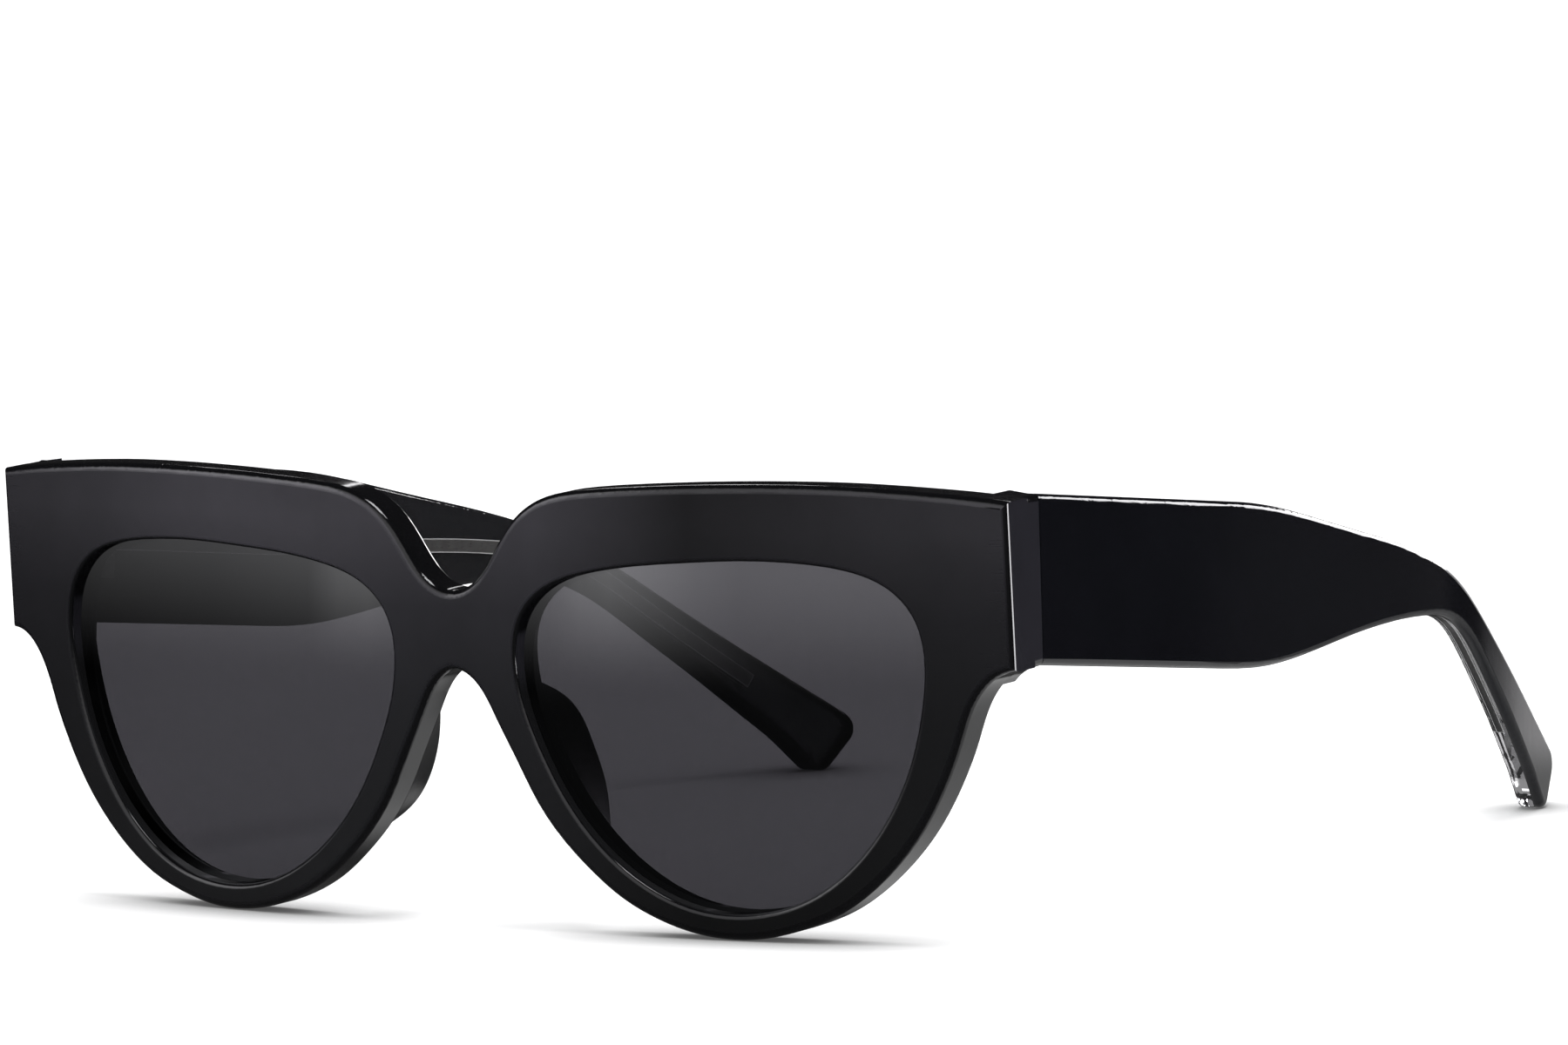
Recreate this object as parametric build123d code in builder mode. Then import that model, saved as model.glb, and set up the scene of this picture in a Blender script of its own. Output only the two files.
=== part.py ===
from build123d import *
import math
import os

# ---------------------------------------------------------------------------
# Cat eye sunglasses: laminated acetate frame with five-barrel hinges.
# +X is the wearer's left, +Y runs from the front towards the temple tips, +Z is up.
# The pair stands on its rim bottoms and temple tips, on Z = 0.
# Left pieces are modelled and mirrored to the right. All dimensions in millimetres.
# ---------------------------------------------------------------------------

# stance: the design frame is tilted and shifted to stand on the floor
STANCE_TILT = 2.116         # forward lean of the front, degrees
SHIFT_Y = -73.89            # puts the middle of the length on Y = 0
SHIFT_Z = 0.383             # puts the lowest points on Z = 0

# front
FRONT_HALF_W = 72.5         # half of the overall width
FRONT_T = 4.5               # thickness of the front sheet
WRAP_R = 314.0              # radius of the front's outer face, about a vertical axis
SHEET_HALF_W = 80           # half width of the sheet before it is cut to outline
EDGE_R = 0.95               # edge round, outside
REAR_R = 0.5                # edge round, rear
OPEN_R = 0.55               # edge round of the lens openings

# end piece
STEP_X = 68.6               # inner wall of the end piece
PAD_V = -2.5                # flat for the front hinge leaf, from the hinge axis
PAD_X = 61.6                # where that flat starts
BLOCK_TOP = 48.8            # top of the thick part, inboard of the step
BLOCK_CUT_X = 50            # inboard end of the cut above the thick part
BLOCK_CUT_H = 10
BLOCK_DEPTH = 2.0           # start of the block behind the front's outer face
BLOCK_U = -8.2              # inboard side of the block, from the hinge axis
BLOCK_SLANT_V = -5.0        # where the slant up to the flat starts
BLOCK_V = (-9, 4)           # front and rear limits of the block
BLOCK_HALF_H = 16

# butt joint between end piece and temple
JOINT_Y, JOINT_Z = 14.50, 40.40     # a point on the joint
JOINT_LEAN = 2.1            # lean of the joint plane, degrees
JOINT_GAP = 0.12            # gap between end piece and temple when open

# lens
LENS_R = 150.0              # outer face radius of the lens blank
LENS_T = 1.8
LENS_X, LENS_Z = 35.2, 22.8     # lens apex
LENS_RECESS = 0.5           # lens apex behind the front's outer face
LENS_TURN = 6.5             # lens axis turned outward, degrees
LENS_BITE = 0.80            # lens edge past the opening, inside the groove
GROOVE_SLACK = 0.04         # clearance between lens and groove

# temple
TEMPLE_SLOPE = 8.56         # drop of the temple from the front's square, degrees
OUTER_T = 1.25              # black laminate
INNER_T = 2.30              # clear laminate
TEMPLE_R = 0.80             # edge round of the temple
WIRE_W, WIRE_H = 1.0, 1.7   # core wire section
WIRE_DEPTH = OUTER_T + INNER_T / 2      # wire middle, from the temple's outer face
WIRE_SLACK = 0.02

# hinge; u is outboard and v is rearward from the hinge axis, h is along the axis
HINGE_X, HINGE_Y, HINGE_Z = 66.55, 14.95, 40.30
BARREL_R = 1.45
BARREL_N = 5
BARREL_H = 1.60
BARREL_GAP = 0.05
PITCH = BARREL_H + BARREL_GAP
STACK = BARREL_N * BARREL_H + (BARREL_N - 1) * BARREL_GAP
BORE_R = 0.75
SCREW_R = 0.70
SCREW_SHORT = 0.1           # shank shorter than the barrel stack
HEAD_R, HEAD_H = 1.12, 0.75
SEAT_SLACK_R, SEAT_SLACK_H = 0.04, 0.03     # clearance round and under the screw head
SLOT_L, SLOT_W, SLOT_DEPTH, SLOT_TURN = 3, 0.32, 0.35, 35
CUT_PAST = 1                # overrun of cuts beyond the stack ends

LEAF_T = 0.85
LEAF_HALF = 4.2             # half height of each leaf
LEAF_SLACK = 0.03
POCKET_REACH = 3.0          # pocket size across the leaf, open on the leaf's free side
FRONT_LEAF_U = (-4.6, 1.2)
FRONT_LEAF_V = (-3.0, -3.0 + LEAF_T)
TEMPLE_LEAF_U = (1.97, 1.97 + LEAF_T)
TEMPLE_LEAF_V = (0.75, 9.0)
# webs from the barrels to the leaves
FRONT_WEB_U = (-0.95, 0.95)
FRONT_WEB_V = (FRONT_LEAF_V[1] - 0.4, 0)
TEMPLE_WEB_U = (0, 2.3)
TEMPLE_WEB_V = (0.05, BARREL_R)
# studs on the leaves
STUD_ROOT = 0.2             # stud start inside the leaf
STUD_END_SLACK = 0.05
FRONT_STUD_R, FRONT_STUD_L = 0.8, 2.2
FRONT_STUD_U, FRONT_STUD_HS = -2.6, (-2.2, 2.2)
TEMPLE_STUD_R, TEMPLE_STUD_L = 0.7, 1.3
TEMPLE_STUD_VS = (3.2, 6.8)

# extrusions long enough to pass through the whole piece
LENS_REACH = 18             # rearward, for lens outlines
FRONT_REACH = 24            # rearward, for front outlines
FULL_HEIGHT = 90            # upward, for the front
BAND_HEIGHT = 80            # upward, for temple bands
SIDE_REACH = 90             # sideways, for temple profiles

# ---------------------------------------------------------------------------
# outlines, as points of the design frame
# ---------------------------------------------------------------------------

# front, left half (x, z): top edge outward from the middle, bottom edge inward to it
TOP = [
    (0.00, 38.65), (3.39, 39.92), (6.49, 43.68), (9.71, 47.57), (13.39, 49.69),
    (18.28, 50.66), (24.95, 51.15), (31.87, 51.47), (38.91, 51.65), (45.84, 51.68),
    (52.69, 51.54), (59.39, 51.18), (66.01, 50.66), (72.50, 49.90)]
BOTTOM = [
    (72.50, 30.75), (69.59, 29.73), (67.28, 26.93), (65.39, 22.16), (63.06, 16.96),
    (60.45, 12.58), (57.24, 8.68), (53.56, 5.35), (49.41, 2.68), (44.82, 0.91),
    (40.13, -0.22), (35.36, -0.47), (30.57, 0.16), (25.89, 1.63), (21.44, 3.84),
    (17.43, 6.85), (13.82, 10.28), (10.74, 14.21), (8.08, 18.96), (5.11, 24.41),
    (2.63, 28.16), (0.00, 29.45)]
# left lens opening (x, z), anticlockwise
OPENING = [
    (8.80, 31.55), (9.48, 26.36), (11.72, 20.65), (14.75, 15.22), (18.50, 10.60),
    (22.99, 6.84), (28.06, 4.13), (33.48, 2.71), (39.11, 2.66), (44.52, 3.95),
    (49.37, 6.58), (53.59, 10.43), (57.00, 15.20), (59.51, 20.63), (61.03, 26.48),
    (61.55, 32.36), (60.43, 36.87), (57.29, 40.18), (52.48, 41.99), (46.20, 42.79),
    (39.40, 42.96), (32.18, 42.63), (24.68, 42.04), (18.40, 41.01), (13.22, 39.14),
    (10.02, 36.09)]

# temple from the side (y, z): straight top and bottom edges, each as (start, end)
TEMPLE_TOP_LINE = (13.0, 50.37), (56.0, 43.90)
TEMPLE_BOTTOM_LINE = (13.0, 30.94), (52.0, 25.07)
# curved top edge going back to the tip, curved bottom edge coming forward from it
TEMPLE_TOP = [
    (64.11, 42.36), (73.32, 39.88), (83.36, 37.02), (93.57, 34.10), (102.60, 31.00),
    (110.60, 27.30), (117.50, 22.85), (125.10, 17.45), (132.60, 12.15), (140.20, 6.85),
    (144.60, 3.80)]
TEMPLE_BOTTOM = [
    (139.90, -1.85), (136.00, 1.70), (129.50, 7.35), (122.40, 13.20), (117.80, 16.95),
    (113.20, 20.35), (107.20, 23.25), (100.20, 24.55), (90.97, 25.10), (82.24, 24.98),
    (72.36, 24.35), (63.37, 24.02)]
# corners of the tip before rounding, with their radii
TIP_UP, TIP_UP_R = (150.75, -0.45), 2.3
TIP_LOW, TIP_LOW_R = (144.35, -6.55), 2.0

# left temple from above (x, y): outer face, bowed in towards the ear
BOW = [
    (72.50, 10.00), (72.50, 15.00), (72.36, 38.00), (71.85, 60.00), (70.90, 80.00),
    (69.00, 100.00), (66.50, 112.00), (63.65, 122.00), (60.45, 132.00), (56.95, 142.00),
    (54.45, 149.00), (53.35, 152.00)]

# middle line of the core wire from the side (y, z)
WIRE = [
    (25.00, 38.85), (40.00, 36.60), (56.00, 34.20), (73.30, 32.10), (93.00, 29.60),
    (102.60, 27.70), (109.80, 25.20), (115.90, 21.30), (120.80, 17.50), (125.70, 13.80),
    (130.60, 10.10), (134.60, 7.10)]

# left nose pad sections, from the top down:
# height, nose side root x, lens side root x, ridge x, ridge y, half ridge width
PAD_SECTIONS = [
    (28.7, 3.0, 7.6, 5.6, 5.3, 0.75),
    (26.9, 4.0, 8.4, 7.8, 7.6, 0.65),
    (24.6, 5.2, 9.4, 9.7, 9.5, 0.6),
    (20.0, 7.6, 11.4, 11.15, 10.8, 0.6),
    (16.5, 9.6, 13.3, 12.3, 10.9, 0.6),
    (13.0, 12.0, 15.6, 13.7, 9.8, 0.6),
    (10.6, 14.0, 17.5, 15.4, 7.6, 0.6),
    (9.1, 15.5, 18.4, 16.7, 5.2, 0.7)]
PAD_ROOT_Y = 4.05           # root of the pads, inside the front sheet
PAD_SHOULDER = 0.8          # drop from ridge to shoulder, per half ridge width

# ---------------------------------------------------------------------------
# design frame: x across, y back, z up, before the stance tilt
# ---------------------------------------------------------------------------
tilt = math.radians(STANCE_TILT)
ORIGIN = Vector(0, SHIFT_Y, SHIFT_Z)
ACROSS = Vector(1, 0, 0)
BACK = Vector(0, math.cos(tilt), math.sin(tilt))
UP = Vector(0, -math.sin(tilt), math.cos(tilt))


def direction(x, y, z):
    """A direction of the design frame."""
    return ACROSS * x + BACK * y + UP * z


def at(x, y, z):
    """A point of the design frame."""
    return ORIGIN + direction(x, y, z)


def local(point):
    """Design-frame coordinates of a point."""
    offset = point - ORIGIN
    return offset.dot(ACROSS), offset.dot(BACK), offset.dot(UP)


FRONT_PLANE = Plane(origin=at(0, -2, 0), x_dir=ACROSS, z_dir=BACK * -1)     # draws (x, z)
FLOOR_PLANE = Plane(origin=at(0, 0, -12), x_dir=ACROSS, z_dir=UP)           # draws (x, y)
SIDE_PLANE = Plane(origin=at(0, 0, 0), x_dir=BACK, z_dir=ACROSS)            # draws (y, z)

slope = math.radians(TEMPLE_SLOPE)
SLOPE_SIN, SLOPE_COS = math.sin(slope), math.cos(slope)
HINGE_AXIS = direction(0, SLOPE_SIN, SLOPE_COS)
HINGE_BACK = direction(0, SLOPE_COS, -SLOPE_SIN)


def hinge_point(u, v, h):
    """A point measured from the middle of the left hinge."""
    return at(HINGE_X, HINGE_Y, HINGE_Z) + ACROSS * u + HINGE_BACK * v + HINGE_AXIS * h


def hinge_plane(h):
    """Plane across the left hinge axis, h above the hinge middle; draws (u, v)."""
    return Plane(origin=hinge_point(0, 0, h), x_dir=ACROSS, z_dir=HINGE_AXIS)


def joint_plane(gap=0):
    """The butt joint's plane, moved back by gap."""
    lean = math.radians(JOINT_LEAN)
    normal = direction(0, math.cos(lean), -math.sin(lean))
    return Plane(origin=at(0, JOINT_Y, JOINT_Z) + normal * gap, x_dir=ACROSS, z_dir=normal)


# the front studs point forward, the temple studs outboard
FRONT_STUD_PLANES = [
    Plane(origin=hinge_point(FRONT_STUD_U, FRONT_LEAF_V[0] + STUD_ROOT, h),
          x_dir=ACROSS, z_dir=HINGE_BACK * -1)
    for h in FRONT_STUD_HS]
TEMPLE_STUD_PLANES = [
    Plane(origin=hinge_point(TEMPLE_LEAF_U[1] - STUD_ROOT, v, 0),
          x_dir=HINGE_BACK, z_dir=ACROSS)
    for v in TEMPLE_STUD_VS]


# ---------------------------------------------------------------------------
# point helpers
# ---------------------------------------------------------------------------
def wrap_y(x, radius=WRAP_R):
    """How far back the cylinder of this radius about the wrap axis is, at x."""
    return WRAP_R - math.sqrt(radius ** 2 - x ** 2)


def flipped(points):
    """The points mirrored to the other side of the middle."""
    return [(-x, z) for x, z in points]


def beside(points, distance, closed=False):
    """The points moved to the curve's right, which is outward if anticlockwise."""
    last = len(points) - 1
    moved = []
    for k, (x, y) in enumerate(points):
        if closed:
            before, after = points[k - 1], points[(k + 1) % len(points)]
        else:
            before, after = points[max(k - 1, 0)], points[min(k + 1, last)]
        run, rise = after[0] - before[0], after[1] - before[1]
        length = math.hypot(run, rise)
        moved.append((x + distance * rise / length, y - distance * run / length))
    return moved


def toward(start, end):
    """Vector from start to end."""
    return end[0] - start[0], end[1] - start[1]


def unit(vector):
    length = math.hypot(*vector)
    return vector[0] / length, vector[1] / length


def corner(before, tip, after, radius):
    """Start, middle and end of the arc that rounds the corner at tip."""
    first, second = unit(toward(tip, before)), unit(toward(tip, after))
    half = math.acos(first[0] * second[0] + first[1] * second[1]) / 2
    middle = unit((first[0] + second[0], first[1] + second[1]))
    back = radius / math.tan(half)
    reach = radius / math.sin(half) - radius
    return [(tip[0] + way[0] * length, tip[1] + way[1] * length)
            for way, length in ((first, back), (middle, reach), (second, back))]


# ---------------------------------------------------------------------------
# drawing helpers: each draws into the line or sketch that is open
# ---------------------------------------------------------------------------
def draw_front_outline():
    """Cat eye outline with the bridge notch above and the nose arch below."""
    Spline(*flipped(TOP[:0:-1]), *TOP)
    Line(TOP[-1], BOTTOM[0])
    Spline(*BOTTOM, *flipped(BOTTOM[-2::-1]))
    Line(*flipped([BOTTOM[0], TOP[-1]]))


def draw_temple_profile():
    """The temple seen from its side."""
    top_start, top_end = TEMPLE_TOP_LINE
    bottom_start, bottom_end = TEMPLE_BOTTOM_LINE
    upper_arc = corner(TEMPLE_TOP[-1], TIP_UP, TIP_LOW, TIP_UP_R)
    lower_arc = corner(TIP_UP, TIP_LOW, TEMPLE_BOTTOM[0], TIP_LOW_R)
    Line(top_start, top_end)
    Spline(top_end, *TEMPLE_TOP,
           tangents=[(SLOPE_COS, -SLOPE_SIN), toward(TEMPLE_TOP[-1], TIP_UP)])
    Line(TEMPLE_TOP[-1], upper_arc[0])
    ThreePointArc(*upper_arc)
    Line(upper_arc[2], lower_arc[0])
    ThreePointArc(*lower_arc)
    Line(lower_arc[2], TEMPLE_BOTTOM[0])
    Spline(*TEMPLE_BOTTOM, bottom_end,
           tangents=[toward(TIP_LOW, TEMPLE_BOTTOM[0]), (-SLOPE_COS, SLOPE_SIN)])
    Line(bottom_end, bottom_start)
    Line(bottom_start, top_start)


def draw_band(near, far):
    """Bowed band between two depths inside the temple's outer face, from above."""
    outer, inner = beside(BOW, -near), beside(BOW, -far)
    Spline(*outer)
    Line(outer[-1], inner[-1])
    Spline(*inner)
    Line(inner[0], outer[0])


def draw_wire_end(start, end, overrun):
    """Closes one end of the wire profile, moved along y by overrun."""
    if overrun:
        Polyline(start, (start[0] + overrun, start[1]), (end[0] + overrun, end[1]), end)
    else:
        Line(start, end)


def draw_box(u_range, v_range):
    """Rectangle between two pairs of limits."""
    with Locations((sum(u_range) / 2, sum(v_range) / 2)):
        Rectangle(u_range[1] - u_range[0], v_range[1] - v_range[0])


def widened(limits, slack):
    return limits[0] - slack, limits[1] + slack


# ---------------------------------------------------------------------------
# edge selectors
# ---------------------------------------------------------------------------
def on_wrap(edge, radius):
    """True for an edge on the cylinder of this radius about the wrap axis."""
    for t in (0.15, 0.5, 0.85):
        x, y, z = local(edge.position_at(t))
        if abs(math.hypot(x, WRAP_R - y) - radius) > 0.02:
            return False
    return True


def runs_back(edge):
    """True for an edge of the end piece's side that runs straight back."""
    heading = (edge.end_point() - edge.start_point()).normalized()
    on_side = abs(abs(local(edge.center())[0]) - FRONT_HALF_W) < 0.05
    return on_side and abs(heading.dot(BACK)) > 0.9


def is_rim(edge):
    """True for the outer edge of a lens opening."""
    return on_wrap(edge, WRAP_R) and abs(local(edge.center())[0]) > 5 and edge.length > 100


def on_band(edge, depth):
    """True for a temple edge on the band's face at this depth inside the outer face."""
    face = beside(BOW, -depth)
    for t in (0.2, 0.5, 0.8):
        x, y, z = local(edge.position_at(t))
        for (x0, y0), (x1, y1) in zip(face, face[1:]):
            if y0 <= y <= y1 and abs(x0 + (x1 - x0) * (y - y0) / (y1 - y0) - x) > 0.35:
                return False
    return True


def at_butt_end(edge):
    """True for an edge of the temple's butt end."""
    return max(local(edge.position_at(t))[1] for t in (0.2, 0.5, 0.8)) < JOINT_Y + 1.5


# ---------------------------------------------------------------------------
# lens
# ---------------------------------------------------------------------------
def lens_shell(slack=0):
    """Left spherical shell trimmed to the opening outline grown past it, plus slack."""
    turn = math.radians(LENS_TURN)
    apex = at(LENS_X, wrap_y(LENS_X) + LENS_RECESS, LENS_Z)
    centre = apex - direction(math.sin(turn), -math.cos(turn), 0) * LENS_R
    with BuildPart() as shell:
        with BuildSketch(FRONT_PLANE):
            with BuildLine():
                Spline(*beside(OPENING, LENS_BITE + slack, closed=True), periodic=True)
            make_face()
        extrude(amount=-LENS_REACH)
        with Locations(centre):
            Sphere(LENS_R + slack, mode=Mode.INTERSECT)
            Sphere(LENS_R - LENS_T - slack, mode=Mode.SUBTRACT)
    return shell.part


def lens_grooves():
    """Cutter for both lens grooves."""
    with BuildPart() as grooves:
        add(lens_shell_with_slack)
        mirror(about=Plane.YZ)
    return grooves.part


lens_shell_with_slack = lens_shell(GROOVE_SLACK)


# ---------------------------------------------------------------------------
# hinge leaf pockets
# ---------------------------------------------------------------------------
def front_leaf_pocket():
    """Cutter for the front leaf and its studs, in the left end piece."""
    floor_v = FRONT_LEAF_V[0] - LEAF_SLACK
    with BuildPart() as pocket:
        with BuildSketch(hinge_plane(-LEAF_HALF - LEAF_SLACK)):
            draw_box(widened(FRONT_LEAF_U, LEAF_SLACK), (floor_v, floor_v + POCKET_REACH))
        extrude(amount=2 * (LEAF_HALF + LEAF_SLACK))
        for plane in FRONT_STUD_PLANES:
            with BuildSketch(plane):
                Circle(FRONT_STUD_R + LEAF_SLACK)
            extrude(amount=FRONT_STUD_L + STUD_END_SLACK)
    return pocket.part


def temple_leaf_pocket():
    """Cutter for the temple leaf and its studs, in the left temple."""
    floor_u = TEMPLE_LEAF_U[1] + LEAF_SLACK
    with BuildPart() as pocket:
        with BuildSketch(hinge_plane(-LEAF_HALF - LEAF_SLACK)):
            draw_box((floor_u - POCKET_REACH, floor_u), widened(TEMPLE_LEAF_V, LEAF_SLACK))
        extrude(amount=2 * (LEAF_HALF + LEAF_SLACK))
        for plane in TEMPLE_STUD_PLANES:
            with BuildSketch(plane):
                Circle(TEMPLE_STUD_R + LEAF_SLACK)
            extrude(amount=TEMPLE_STUD_L + STUD_END_SLACK)
    return pocket.part


# ---------------------------------------------------------------------------
# front frame
# ---------------------------------------------------------------------------
def end_blocks():
    """Both thickened end pieces; their flat and step run parallel to the hinge axis."""
    front_v, rear_v = BLOCK_V
    pad_u, step_u, side_u = PAD_X - HINGE_X, STEP_X - HINGE_X, FRONT_HALF_W - HINGE_X
    with BuildPart() as blocks:
        with BuildSketch(hinge_plane(-BLOCK_HALF_H)):
            with BuildLine():
                Polyline((BLOCK_U, front_v), (BLOCK_U, BLOCK_SLANT_V), (pad_u, PAD_V),
                         (step_u, PAD_V), (step_u, rear_v), (side_u, rear_v),
                         (side_u, front_v), close=True)
            make_face()
        extrude(amount=2 * BLOCK_HALF_H)
        # keep what lies behind the sheet's outer face
        with BuildSketch(FLOOR_PLANE):
            with Locations((0, WRAP_R)):
                Circle(WRAP_R - BLOCK_DEPTH)
        extrude(amount=FULL_HEIGHT, mode=Mode.INTERSECT)
        with BuildSketch(FRONT_PLANE):
            with BuildLine():
                draw_front_outline()
            make_face()
        extrude(amount=-FRONT_REACH, mode=Mode.INTERSECT)
        with BuildSketch(FRONT_PLANE):
            draw_box((BLOCK_CUT_X, STEP_X), (BLOCK_TOP, BLOCK_TOP + BLOCK_CUT_H))
        extrude(amount=-FRONT_REACH, mode=Mode.SUBTRACT)
        fillet(blocks.edges().filter_by(runs_back), radius=EDGE_R)
        split(bisect_by=joint_plane(), keep=Keep.BOTTOM)
        mirror(about=Plane.YZ)
    return blocks.part


def front_frame():
    """Wrapped sheet with end pieces, lens openings, grooves and hinge pockets."""
    blocks, grooves, pocket = end_blocks(), lens_grooves(), front_leaf_pocket()
    half = SHEET_HALF_W
    outer_y, rear_y = wrap_y(half), wrap_y(half, WRAP_R - FRONT_T)
    with BuildPart() as frame:
        with BuildSketch(FLOOR_PLANE):
            with BuildLine():
                ThreePointArc((-half, outer_y), (0, 0), (half, outer_y))
                Line((half, outer_y), (half, rear_y))
                ThreePointArc((half, rear_y), (0, FRONT_T), (-half, rear_y))
                Line((-half, rear_y), (-half, outer_y))
            make_face()
        extrude(amount=FULL_HEIGHT)
        with BuildSketch(FRONT_PLANE):
            with BuildLine():
                draw_front_outline()
            make_face()
        extrude(amount=-FRONT_REACH, mode=Mode.INTERSECT)
        fillet(frame.edges().filter_by(lambda e: on_wrap(e, WRAP_R)), radius=EDGE_R)
        fillet(frame.edges().filter_by(lambda e: on_wrap(e, WRAP_R - FRONT_T)), radius=REAR_R)
        add(blocks)
        # lens openings
        with BuildSketch(FRONT_PLANE):
            with BuildLine():
                Spline(*OPENING, periodic=True)
            make_face()
            mirror(about=Plane.YZ)
        extrude(amount=-FRONT_REACH, mode=Mode.SUBTRACT)
        fillet([e for e in frame.edges() if is_rim(e)], radius=OPEN_R)
        add(grooves, mode=Mode.SUBTRACT)
        add(pocket, mode=Mode.SUBTRACT)
        mirror(pocket, about=Plane.YZ, mode=Mode.SUBTRACT)
    return frame.part


def nose_pad(frame):
    """Build-up wedge on the rear of the left nasal rim."""
    with BuildPart() as pad:
        for z, nose_x, lens_x, ridge_x, ridge_y, half_ridge in PAD_SECTIONS:
            shoulder_y = ridge_y - half_ridge * PAD_SHOULDER
            nose_shoulder = (ridge_x - half_ridge, shoulder_y)
            lens_shoulder = (ridge_x + half_ridge, shoulder_y)
            with BuildSketch(Plane(origin=at(0, 0, z), x_dir=ACROSS, z_dir=UP)):
                with BuildLine():
                    Line((nose_x, PAD_ROOT_Y), nose_shoulder)
                    ThreePointArc(nose_shoulder, (ridge_x, ridge_y), lens_shoulder)
                    Line(lens_shoulder, (lens_x, PAD_ROOT_Y))
                    Line((lens_x, PAD_ROOT_Y), (nose_x, PAD_ROOT_Y))
                make_face()
        loft()
        add(frame, mode=Mode.SUBTRACT)
    return pad.part


# ---------------------------------------------------------------------------
# temple
# ---------------------------------------------------------------------------
def temple_layer(near, far, rounded, cutters=()):
    """Left laminate between two depths: side profile crossed with the bowed band.

    The edges on the face at depth rounded are rounded, except at the butt end.
    """
    with BuildPart() as layer:
        with BuildSketch(SIDE_PLANE):
            with BuildLine():
                draw_temple_profile()
            make_face()
        extrude(amount=SIDE_REACH)
        with BuildSketch(FLOOR_PLANE):
            with BuildLine():
                draw_band(near, far)
            make_face()
        extrude(amount=BAND_HEIGHT, mode=Mode.INTERSECT)
        split(bisect_by=joint_plane(JOINT_GAP), keep=Keep.TOP)
        fillet([e for e in layer.edges() if on_band(e, rounded) and not at_butt_end(e)],
               radius=TEMPLE_R)
        for cutter in cutters:
            add(cutter, mode=Mode.SUBTRACT)
    return layer.part


def core_wire(slack=0):
    """Left flat strip along the middle of the clear laminate; with slack, its channel."""
    half_h, half_w = WIRE_H / 2 + slack, WIRE_W / 2 + slack
    upper, lower = beside(WIRE, -half_h), beside(WIRE, half_h)[::-1]
    with BuildPart() as wire:
        with BuildSketch(SIDE_PLANE):
            with BuildLine():
                Spline(*upper)
                draw_wire_end(upper[-1], lower[0], slack)
                Spline(*lower)
                draw_wire_end(lower[-1], upper[0], -slack)
            make_face()
        extrude(amount=SIDE_REACH)
        with BuildSketch(FLOOR_PLANE):
            with BuildLine():
                draw_band(WIRE_DEPTH - half_w, WIRE_DEPTH + half_w)
            make_face()
        extrude(amount=BAND_HEIGHT, mode=Mode.INTERSECT)
    return wire.part


# ---------------------------------------------------------------------------
# hinge: three barrels on the front leaf and two on the temple leaf, on one screw
# ---------------------------------------------------------------------------
def hinge_front():
    """Left front leaf with studs, barrels 0, 2 and 4, bore and screw head seat."""
    with BuildPart() as leaf:
        with BuildSketch(hinge_plane(-LEAF_HALF)):
            draw_box(FRONT_LEAF_U, FRONT_LEAF_V)
        extrude(amount=2 * LEAF_HALF)
        for plane in FRONT_STUD_PLANES:
            with BuildSketch(plane):
                Circle(FRONT_STUD_R)
            extrude(amount=FRONT_STUD_L)
        for k in range(0, BARREL_N, 2):
            with BuildSketch(hinge_plane(-STACK / 2 + k * PITCH)):
                Circle(BARREL_R)
                draw_box(FRONT_WEB_U, FRONT_WEB_V)
            extrude(amount=BARREL_H)
        with BuildSketch(hinge_plane(-STACK / 2 - CUT_PAST)):
            Circle(BORE_R)
        extrude(amount=STACK + 2 * CUT_PAST, mode=Mode.SUBTRACT)
        with BuildSketch(hinge_plane(STACK / 2 - HEAD_H - SEAT_SLACK_H)):
            Circle(HEAD_R + SEAT_SLACK_R)
        extrude(amount=HEAD_H + CUT_PAST, mode=Mode.SUBTRACT)
    return leaf.part


def hinge_temple():
    """Left temple leaf with studs, barrels 1 and 3, and bore."""
    with BuildPart() as leaf:
        with BuildSketch(hinge_plane(-LEAF_HALF)):
            draw_box(TEMPLE_LEAF_U, TEMPLE_LEAF_V)
        extrude(amount=2 * LEAF_HALF)
        for plane in TEMPLE_STUD_PLANES:
            with BuildSketch(plane):
                Circle(TEMPLE_STUD_R)
            extrude(amount=TEMPLE_STUD_L)
        for k in range(1, BARREL_N, 2):
            with BuildSketch(hinge_plane(-STACK / 2 + k * PITCH)):
                Circle(BARREL_R)
                draw_box(TEMPLE_WEB_U, TEMPLE_WEB_V)
            extrude(amount=BARREL_H)
        with BuildSketch(hinge_plane(-STACK / 2 - CUT_PAST)):
            Circle(BORE_R)
        extrude(amount=STACK + 2 * CUT_PAST, mode=Mode.SUBTRACT)
    return leaf.part


def hinge_screw():
    """Left screw with its slotted head at the top."""
    with BuildPart() as screw:
        with BuildSketch(hinge_plane(-STACK / 2)):
            Circle(SCREW_R)
        extrude(amount=STACK - SCREW_SHORT)
        with BuildSketch(hinge_plane(STACK / 2 - HEAD_H)):
            Circle(HEAD_R)
        extrude(amount=HEAD_H)
        with BuildSketch(hinge_plane(STACK / 2 - SLOT_DEPTH)):
            Rectangle(SLOT_L, SLOT_W, rotation=SLOT_TURN)
        extrude(amount=CUT_PAST, mode=Mode.SUBTRACT)
    return screw.part


# ---------------------------------------------------------------------------
# build and export
# ---------------------------------------------------------------------------
def save(part, name):
    part.label = name
    export_step(part, f"parts/{name}.step")


def save_pair(part, name):
    """Saves a left piece and its mirror image on the right."""
    save(part, name)
    with BuildPart() as twin:
        mirror(part, about=Plane.YZ)
    save(twin.part, name.replace("left", "right"))


os.makedirs("parts", exist_ok=True)

frame_part = front_frame()
save(frame_part, "front_frame")
save_pair(lens_shell(), "lens_left")
save_pair(nose_pad(frame_part), "nose_pad_left")

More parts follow.
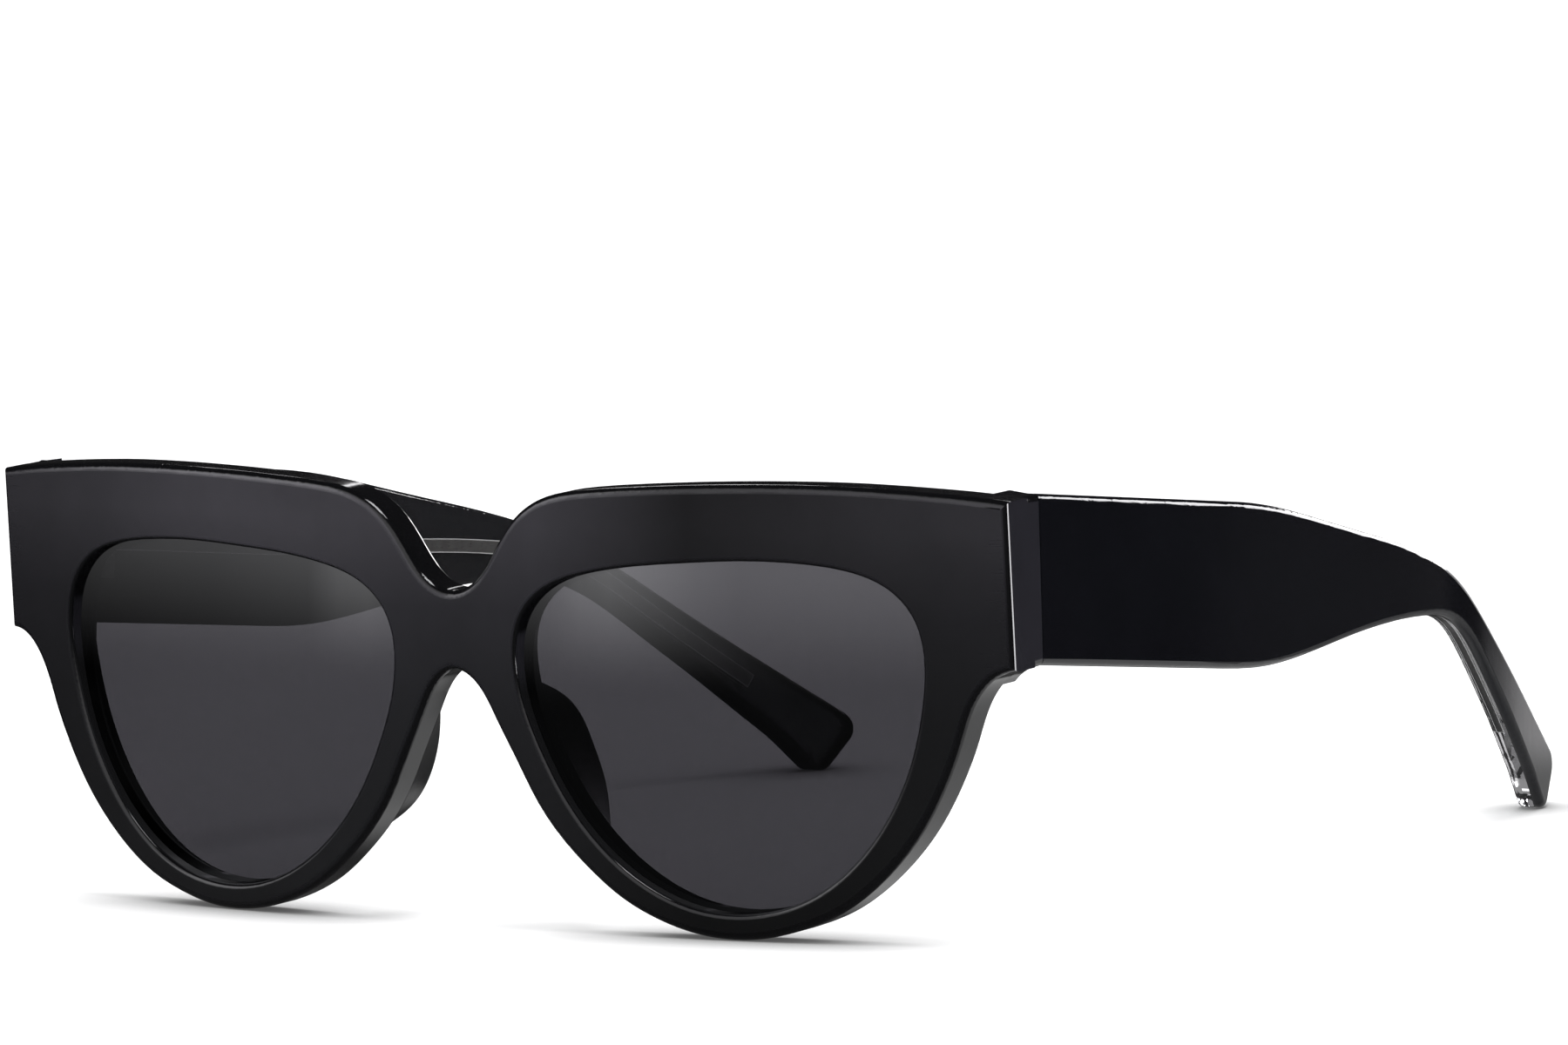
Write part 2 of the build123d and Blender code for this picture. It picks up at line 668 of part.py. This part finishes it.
temple_t = OUTER_T + INNER_T
inner_cutters = (core_wire(WIRE_SLACK), temple_leaf_pocket())
save_pair(temple_layer(0, OUTER_T, rounded=0), "temple_left_outer")
save_pair(temple_layer(OUTER_T, temple_t, rounded=temple_t, cutters=inner_cutters),
          "temple_left_inner")
save_pair(core_wire(), "core_wire_left")

save_pair(hinge_front(), "hinge_front_left")
save_pair(hinge_temple(), "hinge_temple_left")
save_pair(hinge_screw(), "hinge_screw_left")
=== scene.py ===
"""Looks and studio for a pair of black acetate sunglasses with smoke lenses.

The frame is loaded as named pieces. X runs across the front, the front looks towards -Y,
and Z is up. The paper floor lies just under z = 0.
"""
import bpy
from functools import reduce
from mathutils import Matrix, Vector

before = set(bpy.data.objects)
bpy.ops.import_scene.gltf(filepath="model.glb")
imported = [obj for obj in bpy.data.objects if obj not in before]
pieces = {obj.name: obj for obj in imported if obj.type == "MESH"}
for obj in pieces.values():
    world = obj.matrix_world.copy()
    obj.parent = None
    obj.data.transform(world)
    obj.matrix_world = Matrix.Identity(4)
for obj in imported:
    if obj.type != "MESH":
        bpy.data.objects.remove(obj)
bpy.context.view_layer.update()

scene = bpy.context.scene
MM = 0.001
FRONT = (0.0, -1.0, 0.0)    # direction the front looks


# ---------------------------------------------------------------- node helpers
def rgba(color):
    """Opaque colour from three channels or one grey level."""
    return (*color, 1) if isinstance(color, tuple) else (color, color, color, 1)


class Tree:
    """Builds a node tree. Any input may be a socket, a node (its first output) or a value."""

    def __init__(self, owner, output="OutputMaterial"):
        owner.use_nodes = True
        self.tree = owner.node_tree
        self.tree.nodes.clear()
        self.output = self.node(output)

    def node(self, kind, inputs=None, **props):
        node = self.tree.nodes.new("ShaderNode" + kind)
        for key, value in props.items():
            setattr(node, key, value)
        for key, value in (inputs or {}).items():
            self.set(node, key, value)
        return node

    def set(self, node, key, value):
        socket = node.inputs[key]
        if isinstance(value, bpy.types.Node):
            value = value.outputs[0]
        if isinstance(value, bpy.types.NodeSocket):
            self.tree.links.new(value, socket)
        else:
            socket.default_value = rgba(value) if socket.type == "RGBA" else value

    def surface(self, shader):
        self.set(self.output, "Surface", shader)

    def math(self, operation, *values, clamp=False):
        inputs = dict(enumerate(values))
        return self.node("Math", inputs, operation=operation, use_clamp=clamp).outputs[0]

    def add(self, *terms):
        return reduce(lambda a, b: self.math("ADD", a, b), terms)

    def multiply(self, *factors):
        return reduce(lambda a, b: self.math("MULTIPLY", a, b), factors)

    def invert(self, value, clamp=False):
        return self.math("SUBTRACT", 1.0, value, clamp=clamp)

    def rise(self, value, start, end):
        """Smooth 0 to 1 as value goes from start to end; end may be the lower one."""
        inputs = {0: value, 1: start, 2: end, 3: 0.0, 4: 1.0}
        return self.node("MapRange", inputs, interpolation_type="SMOOTHSTEP").outputs[0]

    def fall(self, value, start, end):
        """Smooth 1 to 0 as value goes from start to end."""
        return self.invert(self.rise(value, start, end))

    def band(self, value, low, high, soft):
        """1 between low and high, fading to 0 over soft on either side."""
        return self.multiply(self.rise(value, low - soft, low),
                             self.fall(value, high, high + soft))

    def ramp(self, factor, stops):
        """Linear ramp through (position, colour or grey) stops."""
        node = self.node("ValToRGB", {"Fac": factor})
        ramp = node.color_ramp
        ramp.interpolation = "LINEAR"
        while len(ramp.elements) < len(stops):
            ramp.elements.new(0.5)
        for element, (position, color) in zip(ramp.elements, stops):
            element.position = position
            element.color = rgba(color)
        return node.outputs[0]

    def mix_color(self, factor, first, second, blend="MIX"):
        inputs = {0: factor, 6: first, 7: second}
        return self.node("Mix", inputs, data_type="RGBA", blend_type=blend).outputs[2]

    def tint(self, first, second):
        return self.mix_color(1.0, first, second, blend="MULTIPLY")

    def mix_shader(self, factor, first, second):
        return self.node("MixShader", {0: factor, 1: first, 2: second})

    def emission(self, strength, color=1.0):
        return self.node("Emission", {"Color": color, "Strength": strength})

    def background(self, strength, color=1.0):
        return self.node("Background", {"Color": color, "Strength": strength})

    def noise(self, vector, scale, detail=2.0, roughness=0.5):
        return self.node("TexNoise", {"Vector": vector, "Scale": scale, "Detail": detail,
                                      "Roughness": roughness}).outputs[0]

    def bump(self, height, strength=1.0):
        """Relief with its height in millimetres."""
        return self.node("Bump", {"Strength": strength, "Distance": MM, "Height": height})

    def dot(self, first, second):
        node = self.node("VectorMath", {0: first, 1: second}, operation="DOT_PRODUCT")
        return node.outputs["Value"]

    def xyz(self, vector):
        return self.node("SeparateXYZ", {0: vector}).outputs

    def geometry(self):
        return self.node("NewGeometry").outputs

    def point_mm(self):
        """Object coordinates in millimetres."""
        place = self.node("TexCoord").outputs["Object"]
        return self.node("VectorMath", {0: place, "Scale": 1 / MM},
                         operation="SCALE").outputs[0]


def new_material(name):
    material = bpy.data.materials.new(name)
    return material, Tree(material)


# ---------------------------------------------------------------- black acetate
# Painted sheen on the front face, a matt stand-in for the reflection of the top light: colour
# by height, as a fraction of the sheen height (mm)
SHEEN_HEIGHT = 50.0
PAINTED_SHEEN_BY_HEIGHT = [(0.06, (0.0056, 0.0056, 0.0064)), (0.50, (0.0075, 0.0075, 0.0090)),
                   (0.74, (0.0130, 0.0125, 0.0155)), (0.94, (0.0290, 0.0275, 0.0330))]
# and its gain across the width, from -X to +X
SHEEN_HALF_WIDTH = 75.0
PAINTED_SHEEN_ACROSS = [(0.0, 0.85), (0.12, 1.0), (0.28, 1.65), (0.42, 1.50),
                (0.58, 1.35), (0.72, 0.32), (0.9, 0.72), (1.0, 0.90)]
EDGE_TONE = (0.0032, 0.0032, 0.0038)
# painted reflection: upper faces looking to +X are lit up in their colour
PAINTED_FLANK_SHEEN = (0.0190, 0.0185, 0.0235)   # upper faces looking to +X


def front_painted_tone(tree, point, normal):
    """Dark edges, with a painted sheen on the face that thickens towards the top, a matt
    stand-in for the reflection of the top light, and a painted reflection on upper faces
    looking to +X.
    """
    z = tree.xyz(point)[2]
    painted_sheen = tree.ramp(tree.math("DIVIDE", z, SHEEN_HEIGHT), PAINTED_SHEEN_BY_HEIGHT)
    x = tree.xyz(point)[0]
    across = tree.math("DIVIDE", tree.add(x, SHEEN_HALF_WIDTH), 2 * SHEEN_HALF_WIDTH)
    painted_sheen = tree.tint(painted_sheen, tree.ramp(across, PAINTED_SHEEN_ACROSS))
    facing = tree.rise(tree.dot(normal, FRONT), 0.80, 0.97)
    tone = tree.mix_color(facing, EDGE_TONE, painted_sheen)
    # painted reflection on the upper faces looking to +X
    flank_sheen = tree.multiply(tree.rise(tree.dot(normal, (1.0, 0.0, 0.0)), 0.95, 0.985),
                          tree.rise(z, 27.0, 31.0))
    return tree.mix_color(flank_sheen, tone, PAINTED_FLANK_SHEEN)


def black_acetate(name, rough, color=None, face_rough=None, specular=0.5, coat=0.25):
    """Polished black acetate: clouded pigment, hairline polish marks and slight orange peel.
    With face_rough and no color it is the front, whose face has its own roughness and a tone
    with painted sheen."""
    material, tree = new_material(name)
    point = tree.point_mm()
    cloud = tree.noise(point, scale=0.09, detail=3.0, roughness=0.6)
    if face_rough is not None:
        normal = tree.geometry()["Normal"]
        base = tree.tint(front_painted_tone(tree, point, normal), tree.mix_color(cloud, 0.75, 1.30))
        facing = tree.rise(tree.dot(normal, FRONT), 0.93, 0.985)
        rough = tree.node("Mix", {0: facing, 2: rough, 3: face_rough}, data_type="FLOAT")
    else:
        base = tree.mix_color(cloud, tuple(c * 0.75 for c in color),
                              tuple(c * 1.35 for c in color))
    # long thin streaks and fine dust vary the roughness
    stretched = tree.node("Mapping", {"Vector": point, "Rotation": (0.35, 0.2, 0.5),
                                      "Scale": (0.12, 0.12, 5.0)})
    streak = tree.noise(stretched, scale=1.0, detail=4.0, roughness=0.65)
    fine = tree.noise(point, scale=1.6, detail=5.0, roughness=0.6)
    mark_depth = dust_depth = 0.05
    marks = tree.multiply(tree.math("SUBTRACT", streak, 0.5), mark_depth)
    dust = tree.multiply(tree.rise(fine, 0.56, 0.75), dust_depth)
    rough = tree.math("ADD", tree.add(rough, marks), dust, clamp=True)
    peel = tree.noise(point, scale=0.22, roughness=0.45)
    scratch = tree.noise(stretched, scale=2.2, roughness=0.6)
    peel_height, scratch_height = 0.012, 0.0012
    height = tree.add(tree.multiply(peel, peel_height),
                      tree.multiply(scratch, scratch_height))
    tree.surface(tree.node("BsdfPrincipled", {
        "Base Color": base, "Roughness": rough, "IOR": 1.48, "Normal": tree.bump(height),
        "Coat Weight": coat, "Coat Roughness": 0.05, "Coat IOR": 1.48,
        "Specular IOR Level": specular, "Specular Tint": (0.97, 0.98, 1.0)}))
    return material


# ---------------------------------------------------------------- smoke lens
# Transmitted colour over the lens height, and strength of the painted reflection glow across
# reflection directions
LENS_HEIGHT = 46.0
LENS_TINT = [(0.0, (0.190, 0.187, 0.200)), (0.72, (0.195, 0.192, 0.205)),
             (1.0, (0.222, 0.218, 0.232))]
REFLECTION_GLOW_ACROSS = [(0.083, 0.035), (0.20, 0.055), (0.36, 0.105), (0.44, 0.128),
               (0.52, 0.115), (0.60, 0.068), (0.833, 0.055)]


def smoke_lens(name):
    """Half of the tint on each face, a clear gloss on the near side only, a trace of dust that
    shows only in the reflection, and a painted reflection of the bright room that glows on the
    near side."""
    material, tree = new_material(name)
    point = tree.point_mm()
    geometry = tree.geometry()
    normal, backfacing = geometry["Normal"], geometry["Backfacing"]
    color = tree.ramp(tree.rise(tree.xyz(point)[2], 0.0, LENS_HEIGHT), LENS_TINT)

    # Schlick reflectance, the same from either side
    facing = tree.math("ABSOLUTE", tree.dot(normal, geometry["Incoming"]))
    graze = tree.invert(facing, clamp=True)
    head_on, grazing_gain = 0.042, 0.95
    schlick = tree.add(head_on, tree.multiply(tree.math("POWER", graze, 5.0), grazing_gain))
    reflectance = tree.multiply(schlick, tree.invert(backfacing))

    smear = tree.noise(point, scale=0.12, detail=3.0, roughness=0.6)
    speck = tree.noise(point, scale=3.5, detail=3.0, roughness=0.6)
    smear_rough, speck_rough = 0.03, 0.05
    rough = tree.add(tree.multiply(smear, smear_rough),
                     tree.multiply(tree.rise(speck, 0.62, 0.8), speck_rough))
    wave = tree.noise(point, scale=0.06, detail=1.0, roughness=0.4)
    wave_height = 0.01
    clear = tree.node("BsdfTransparent", {"Color": color})
    gloss = tree.node("BsdfAnisotropic", {
        "Color": (0.92, 0.95, 1.0), "Roughness": rough,
        "Normal": tree.bump(tree.multiply(wave, wave_height))})
    lens = tree.mix_shader(reflectance, clear, gloss)

    # broad painted reflection: an emission standing in for the soft reflection of the bright
    # room above the horizon
    reflected = tree.xyz(tree.node("TexCoord").outputs["Reflection"])
    across = tree.node("MapRange", {0: reflected[0], 1: -0.30, 2: -0.90})
    reflection_glow = tree.multiply(tree.rise(reflected[2], -0.12, 0.09),
                         tree.ramp(across, REFLECTION_GLOW_ACROSS),
                         tree.invert(backfacing),
                         tree.rise(tree.dot(normal, FRONT), 0.0, 0.3))
    reflection_emission = tree.emission(reflection_glow, color=(0.97, 0.97, 1.0))
    tree.surface(tree.node("AddShader", {0: lens, 1: reflection_emission}))
    return material


# ---------------------------------------------------------------- clear acetate
def clear_acetate(name):
    """Refractive laminate with fine polish marks, letting light through in shadows."""
    material, tree = new_material(name)
    point = tree.point_mm()
    wave = tree.noise(point, scale=0.18)
    fine = tree.noise(point, scale=2.4, detail=3.0, roughness=0.6)
    polished, mark_rough, wave_height = 0.015, 0.06, 0.02
    rough = tree.add(polished, tree.multiply(tree.rise(fine, 0.55, 0.8), mark_rough))
    glass = tree.node("BsdfGlass", {
        "Color": (0.80, 0.80, 0.81), "Roughness": rough, "IOR": 1.48,
        "Normal": tree.bump(tree.multiply(wave, wave_height))})
    shadow = tree.node("BsdfTransparent", {"Color": (0.86, 0.87, 0.88)})
    is_shadow = tree.node("LightPath").outputs["Is Shadow Ray"]
    tree.surface(tree.mix_shader(is_shadow, glass, shadow))
    return material


# ---------------------------------------------------------------- nickel silver
def nickel_silver(name, grain_scale, low, high, painted_edge_highlight=0.0):
    """Drawn metal, blotched between two colours, with optional painted highlights glowing
    along its edges.
    """
    material, tree = new_material(name)
    point = tree.point_mm()
    drawn = tree.node("Mapping", {"Vector": point, "Scale": grain_scale})
    grain = tree.noise(drawn, scale=2.0, detail=5.0, roughness=0.65)
    blotch = tree.noise(point, scale=0.5)
    least_rough, grain_rough, grain_height = 0.20, 0.20, 0.02
    rough = tree.add(least_rough, tree.multiply(grain, grain_rough))
    relief = tree.bump(tree.multiply(grain, grain_height), strength=0.6)
    edge_highlight_emission = 0.0
    if painted_edge_highlight > 0:
        # painted highlight: an emission along the edges, found where the bevelled normal
        # leaves the true one
        bevel = tree.node("Bevel", {"Radius": 0.32 * MM}, samples=6)
        flat = tree.dot(bevel, tree.geometry()["Normal"])
        edge_highlight_emission = tree.multiply(tree.fall(flat, 0.86, 0.99), painted_edge_highlight)
    tree.surface(tree.node("BsdfPrincipled", {
        "Base Color": tree.mix_color(blotch, low, high), "Metallic": 1.0,
        "Roughness": rough, "Normal": relief,
        "Emission Color": 1.0, "Emission Strength": edge_highlight_emission}))
    return material


# ---------------------------------------------------------------- pieces
def assign(name, material, slot):
    piece = pieces[name]
    piece.data.materials.clear()
    piece.data.materials.append(material)


front = black_acetate("acetate_black_front", rough=0.10, face_rough=0.30)
temple = black_acetate("acetate_black_temple", rough=0.08, color=(0.0042, 0.0044, 0.0062))
# the left pad is a darker, duller copy of the same pad acetate; its darker colour is painted
# shade
pads = {"right": black_acetate("acetate_black_pad", rough=0.14,
                               color=(0.0075, 0.0075, 0.0085)),
        "left": black_acetate("acetate_satin_pad_shaded", rough=0.38,
                              color=(0.0045, 0.0044, 0.0052), specular=0.12, coat=0.0)}
lens = smoke_lens("lens_smoke")
clear = clear_acetate("acetate_clear")
wire = nickel_silver("nickel_silver_wire", grain_scale=(6.0, 0.25, 6.0),
                     low=(0.15, 0.148, 0.145), high=(0.24, 0.237, 0.23), painted_edge_highlight=1.1)
hinge = nickel_silver("nickel_silver_hinge", grain_scale=(5.0, 5.0, 0.4),
                      low=(0.60, 0.59, 0.57), high=(0.74, 0.73, 0.71))

# Outward growth (mm) for optical contact between laminates and round the wire:
# a hair of overlap, no air film
CONTACT_GROWTH = {"temple_%s_outer": 0.012, "core_wire_%s": 0.035}

assign("front_frame", front, "acetate_black")
for side in ("left", "right"):
    for name, material, slot in (("lens_%s", lens, "lens_grey"),
                                 ("nose_pad_%s", pads[side], "acetate_black"),
                                 ("temple_%s_outer", temple, "acetate_black"),
                                 ("temple_%s_inner", clear, "acetate_clear"),
                                 ("core_wire_%s", wire, "steel"),
                                 ("hinge_front_%s", hinge, "steel"),
                                 ("hinge_temple_%s", hinge, "steel"),
                                 ("hinge_screw_%s", hinge, "steel")):
        assign(name % side, material, slot)
    for name, growth in CONTACT_GROWTH.items():
        contact = pieces[name % side].modifiers.new("contact", "DISPLACE")
        contact.strength = growth * MM
        contact.mid_level = 0.0


# ---------------------------------------------------------------- floor
def reflected_paper(tree, x, y):
    """Paper as polished faces see it: painted light, lit patches glowing on a dim sheet.
    Places in metres.
    """
    right = tree.multiply(tree.rise(x, 0.043, 0.052), tree.fall(y, 0.040, 0.060),
                          tree.rise(y, -0.066, -0.058))
    centre = tree.multiply(
        tree.multiply(tree.rise(x, -0.022, -0.012), tree.fall(x, 0.014, 0.022)),
        tree.multiply(tree.rise(y, -0.066, -0.058), tree.fall(y, -0.040, -0.025)))
    behind = tree.multiply(tree.rise(x, 0.030, 0.045), tree.rise(y, 0.050, 0.065))
    centre_gain, behind_gain = 1.0, 0.35
    patches = tree.add(right, tree.multiply(centre, centre_gain),
                       tree.multiply(behind_gain, behind))
    dim, lit = 0.06, 0.62
    return tree.emission(tree.add(dim, tree.multiply(patches, lit)))


def paper_floor(name):
    """White paper that brightens away from the frame, so only contact shadows show."""
    material, tree = new_material(name)
    ray = tree.node("LightPath").outputs
    x, y, _ = tree.xyz(tree.geometry()["Position"])
    distance = tree.node("VectorMath", {0: tree.geometry()["Position"]},
                         operation="LENGTH").outputs["Value"]
    near_glow, far_glow = 0.315, 0.08
    glow = tree.add(near_glow, tree.multiply(tree.rise(distance, 0.14, 0.45), far_glow))
    # painted contact shadow: ambient occlusion darkens the paper's colour and glow near the
    # frame
    occlusion = tree.node("AmbientOcclusion", {"Distance": 10.5 * MM}, samples=12)
    shadow = tree.ramp(occlusion.outputs["AO"], [(0.35, 0.24), (0.70, 0.68), (0.96, 1.0)])
    glow = tree.multiply(glow, shadow)
    diffuse = tree.node("BsdfDiffuse", {"Color": tree.tint((0.86, 0.86, 0.865), shadow)})
    glowing = tree.emission(tree.multiply(ray["Is Camera Ray"], glow))
    paper = tree.node("AddShader", {0: diffuse, 1: glowing})

    # reflections see paper only around the frame, and the studio beyond it
    near = tree.multiply(tree.fall(y, 0.10, 0.16), tree.rise(x, -0.16, -0.10),
                         tree.fall(x, 0.24, 0.30))
    nothing = tree.node("BsdfTransparent")
    reflection = tree.mix_shader(near, nothing, reflected_paper(tree, x, y))
    shader = tree.mix_shader(ray["Is Glossy Ray"], paper, reflection)
    # refracted rays pass on to the studio behind
    tree.surface(tree.mix_shader(ray["Is Transmission Ray"], shader, nothing))
    return material


bpy.ops.mesh.primitive_circle_add(vertices=96, radius=3.0, fill_type="NGON",
                                  location=(0, 0, -0.02 * MM))
floor = bpy.context.object
floor.name = "floor"
floor.data.materials.append(paper_floor("floor_white"))


# ---------------------------------------------------------------- studio
def soft_boxes(tree):
    """Brightness seen by polished faces: panels placed by ray direction, dark in between.
    The last factor of each panel is its brightness."""
    x, y, z = tree.xyz(tree.node("TexCoord").outputs["Generated"])
    rise, fall, band = tree.rise, tree.fall, tree.band
    front_high = (rise(z, -0.02, 0.38), rise(y, -0.20, -0.50), fall(z, 0.70, 0.92),
                  tree.add(0.8, tree.multiply(1.2, rise(x, -0.48, -0.62))))
    front_wall = (rise(y, -0.25, -0.75), 0.08)
    strip_back = (band(x, 0.16, 0.40, soft=0.03), band(z, 0.19, 0.44, soft=0.03),
                  rise(y, 0.84, 0.865), 8.0)
    strip_bend = (band(x, -0.32, 0.14, soft=0.03), band(z, 0.10, 0.30, soft=0.04),
                  rise(y, 0.925, 0.94), 7.0)
    temple_wall = (band(x, 0.20, 0.50, soft=0.08), band(z, -0.16, 0.03, soft=0.05),
                   rise(y, 0.84, 0.87), 0.03)
    strip_side = (rise(x, 0.89, 0.92), band(y, 0.00, 0.28, soft=0.04),
                  band(z, -0.24, 0.02, soft=0.05), 14.0)
    notch_spark = (band(x, -0.62, -0.51, soft=0.02), band(z, 0.37, 0.46, soft=0.02),
                   rise(y, 0.6, 0.7), 3.0)
    back_wall = (rise(x, 0.02, -0.17), rise(x, -0.46, -0.34), rise(y, 0.6, 0.8),
                 band(z, -0.34, 0.20, soft=0.08), 0.72)
    panels = (front_high, front_wall, strip_back, strip_bend, temple_wall, strip_side,
              notch_spark, back_wall)
    ambient = 0.012
    return tree.add(ambient, *(tree.multiply(*panel) for panel in panels))


world = bpy.data.worlds.new("studio")
scene.world = world
tree = Tree(world, "OutputWorld")
ray = tree.node("LightPath").outputs
brightness = soft_boxes(tree)
glossy = tree.background(brightness, color=(1.0, 0.985, 1.0))
dome = tree.background(0.9)
backdrop = tree.background(1.1)
# what is seen through the clear laminate: the same dim studio, evened out
THROUGH_LIMIT, THROUGH_LIFT = 2.0, 0.40
through = tree.background(
    tree.add(tree.math("MINIMUM", brightness, THROUGH_LIMIT), THROUGH_LIFT),
    color=(1.0, 0.99, 0.99))
studio = tree.mix_shader(ray["Is Glossy Ray"], dome, glossy)
studio = tree.mix_shader(ray["Is Transmission Ray"], studio, through)
seen = tree.math("MAXIMUM", ray["Is Camera Ray"], 0.0)
tree.surface(tree.mix_shader(seen, studio, backdrop))

# square key light overhead, aimed at the origin
KEY_PLACE = Vector((0.16, -0.05, 0.9))
light = bpy.data.lights.new("key_overhead", "AREA")
light.shape = "RECTANGLE"
light.size = light.size_y = 0.34
light.energy = 3.3
key = bpy.data.objects.new("key_overhead", light)
scene.collection.objects.link(key)
key.location = KEY_PLACE
key.rotation_mode = "QUATERNION"
key.rotation_quaternion = (-KEY_PLACE).to_track_quat("-Z", "Y")
key.visible_camera = False

# ---------------------------------------------------------------- camera and render
CAMERA_AXES = (     # right, up, backward, then the camera's place in metres
    (0.8116148545709079, 0.5834368308803041, -0.029711819402244162, 0),
    (-0.029373161345777533, 0.09155037869006709, 0.9953671410862731, 0),
    (0.5834539786756099, -0.806982027392217, 0.09144103145496661, 0),
    (0.7760320221651589, -1.0826534065164355, 0.16248525399184807, 1))
lens_data = bpy.data.cameras.new("camera")
camera = bpy.data.objects.new("camera", lens_data)
scene.collection.objects.link(camera)
scene.camera = camera
lens_data.sensor_width = 36.0
lens_data.lens = 255.677
camera.matrix_world = Matrix(CAMERA_AXES).transposed()
lens_data.clip_start = 0.05
lens_data.clip_end = 20

scene.view_settings.view_transform = "Standard"
scene.view_settings.look = "None"
cycles = scene.cycles
cycles.max_bounces = 16
cycles.transparent_max_bounces = 24
cycles.transmission_bounces = 12
cycles.glossy_bounces = 6
cycles.caustics_reflective = False
cycles.caustics_refractive = True
